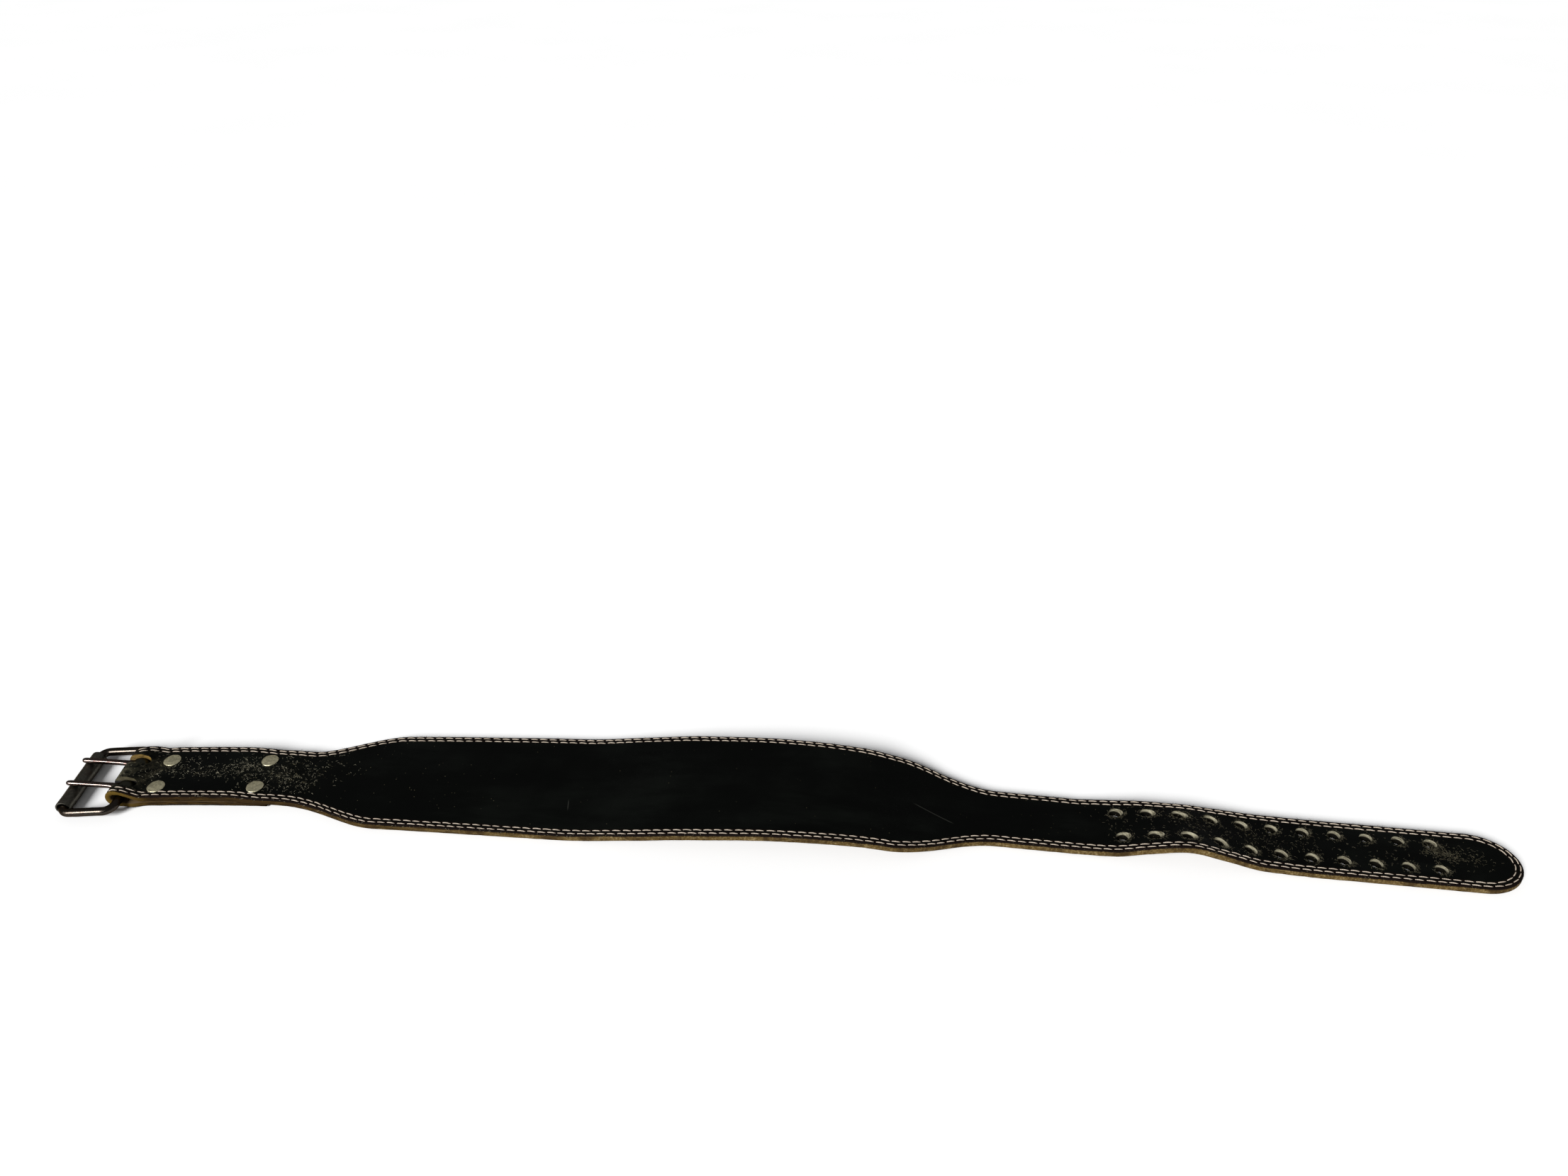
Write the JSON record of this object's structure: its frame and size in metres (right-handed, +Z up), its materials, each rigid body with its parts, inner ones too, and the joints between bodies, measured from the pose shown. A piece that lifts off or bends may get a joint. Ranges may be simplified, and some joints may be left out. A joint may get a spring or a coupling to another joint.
{
  "type": "weightlifting belt",
  "caption": "Broad worn leather lifting belt with a wide back, a riveted fold holding a roller buckle, and a punched, round-tipped strap, lying open.",
  "frame": {"origin": "on the floor, on the underside of the flat stretch of the belt's back", "axes": "+X along the belt towards the round tip of the strap, +Y towards the far long edge of the back, +Z up out of the dyed face"},
  "size_m": [0.9855, 0.1152, 0.0167],
  "materials": {
    "leather": "black dyed grain with a worn satin sheen and raw tan edges",
    "frame_steel": "tarnished plated wire, worn bright along the top",
    "roller_steel": "dark tarnished sheet tube",
    "prong_steel": "worn bright with pinkish brown tarnish",
    "rivet_nickel": "dull yellowish nickel with slight dents"
  },
  "bodies": {
    "belt": {"leather": "leather", "rivet_near_front": "rivet_nickel", "rivet_far_front": "rivet_nickel", "rivet_near_back": "rivet_nickel", "rivet_far_back": "rivet_nickel"},
    "frame": {"buckle_frame": "frame_steel"},
    "roller": {"roller": "roller_steel"},
    "near_prong": {"prong_near": "prong_steel"},
    "far_prong": {"prong_far": "prong_steel"}
  },
  "joints": [
    {"name": "frame_swing", "type": "hinge", "parent": "belt", "child": "frame", "pos_m": [-0.2543, -0.01772, 0.00695], "axis": [-0.1074, 0.9942, 0], "range_deg": [-90, 30]},
    {"name": "roller_spin", "type": "hinge", "parent": "frame", "child": "roller", "pos_m": [-0.28899, -0.0274, 0.005], "axis": [-0.1074, 0.9942, 0], "continuous": true},
    {"name": "near_prong_swing", "type": "hinge", "parent": "frame", "child": "near_prong", "pos_m": [-0.2543, -0.01772, 0.00695], "axis": [-0.1074, 0.9942, 0], "range_deg": [0, 90]},
    {"name": "far_prong_swing", "type": "hinge", "parent": "frame", "child": "far_prong", "pos_m": [-0.2543, -0.01772, 0.00695], "axis": [-0.1074, 0.9942, 0], "range_deg": [0, 90]}
  ]
}
